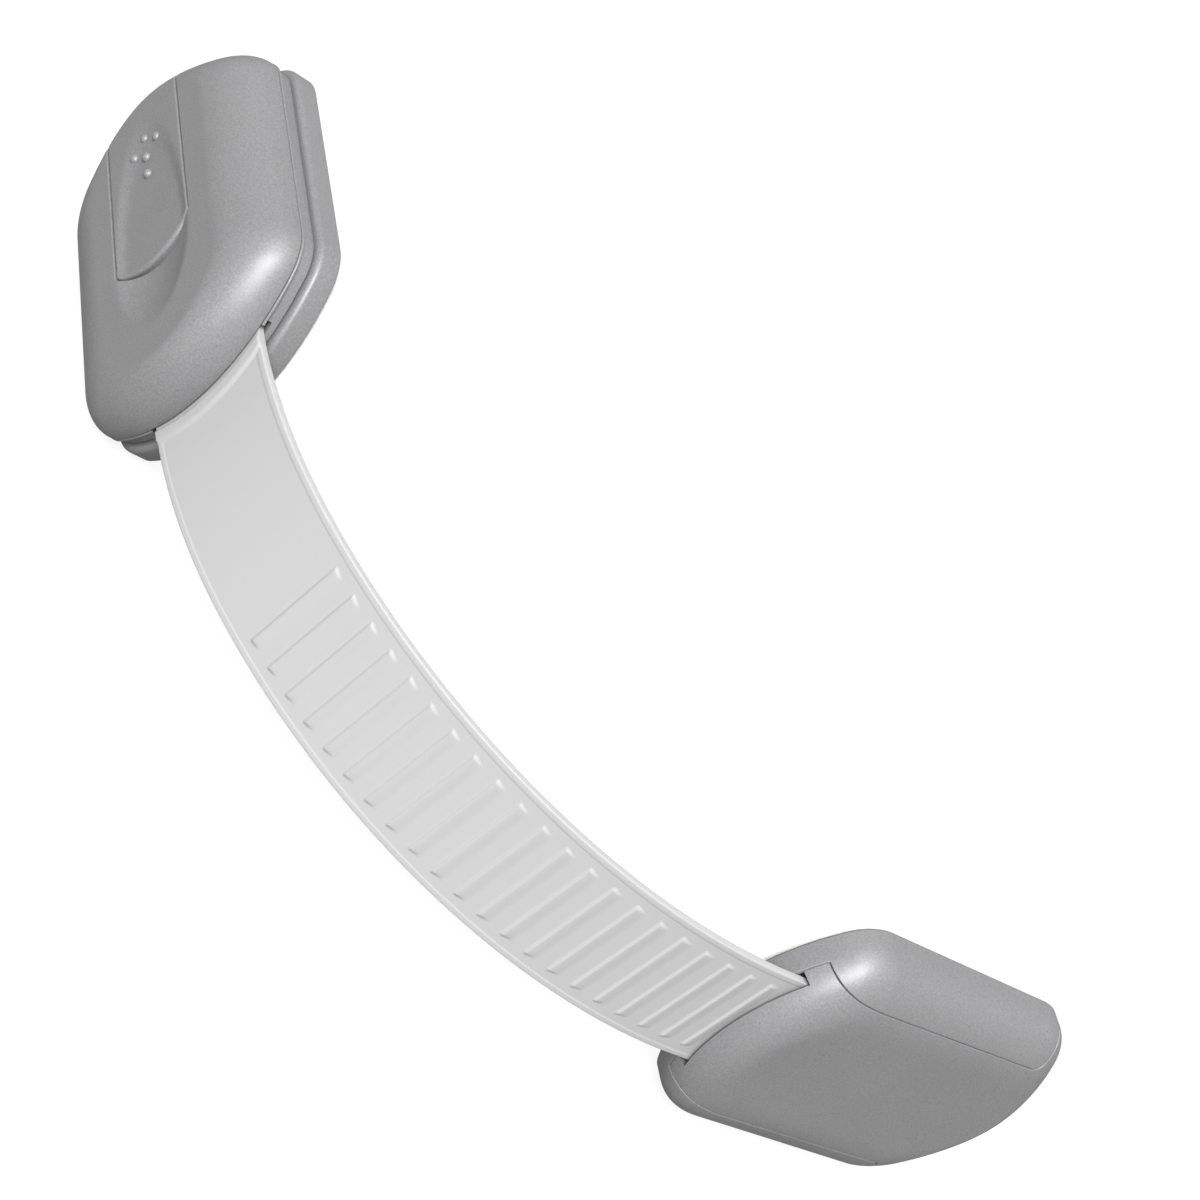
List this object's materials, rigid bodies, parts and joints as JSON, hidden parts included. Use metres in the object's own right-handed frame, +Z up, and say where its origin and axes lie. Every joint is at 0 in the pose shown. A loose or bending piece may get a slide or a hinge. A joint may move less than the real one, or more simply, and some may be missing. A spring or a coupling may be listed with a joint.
{
  "type": "cabinet safety lock",
  "caption": "Cabinet safety lock: a push-button latch head and an anchor head with a sliding cover, joined by a ribbed adjustable strap bent round a corner.",
  "frame": {"origin": "middle of the face that the latch head sticks by", "axes": "+Z up along the width of the strap; +Y out of the latch head's sticking face, into the furniture; the strap leaves the latch head along +X and enters the anchor head along +Y"},
  "size_m": [0.1207, 0.1339, 0.04],
  "materials": {
    "housing": "satin grey moulded plastic with fine metallic grain",
    "strap": "soft translucent whitish plastic",
    "pad": "white foam with adhesive face",
    "steel": "plain"
  },
  "bodies": {
    "housing": {"latch_floor": "housing", "latch_cover": "housing", "latch_screws": "steel", "button_pin": "steel", "button_spring": "steel", "catch_spring": "steel", "catch_screws": "steel", "strap": "strap"},
    "latch_base": {"latch_base_plate": "housing", "latch_adhesive_pad": "pad"},
    "button": {"release_button": "housing"},
    "anchor": {"anchor_base": "housing", "anchor_adhesive_pad": "pad"},
    "anchor_cover": {"anchor_cover": "housing", "strap_pawl": "steel", "pawl_screws": "steel"}
  },
  "joints": [
    {"name": "button_press", "type": "hinge", "parent": "housing", "child": "button", "pos_m": [-0.0189, -0.0099, 0], "axis": [0, 0, 1], "range_deg": [0, 4], "stiffness_Nm_per_rad": 0.3, "springref_deg": -5.73, "deforming": ["button_spring", "catch_spring"]},
    {"name": "housing_release", "type": "slide", "parent": "housing", "child": "latch_base", "axis": [0, 1, 0], "range_m": [0, 0.02]},
    {"name": "strap_adjust", "type": "slide", "parent": "housing", "child": "anchor", "axis": [0, 1, 0], "range_m": [0, 0.01875], "deforming": ["strap_pawl"]},
    {"name": "anchor_cover_slide", "type": "slide", "parent": "anchor", "child": "anchor_cover", "axis": [0, 1, 0], "range_m": [0, 0.055]}
  ]
}
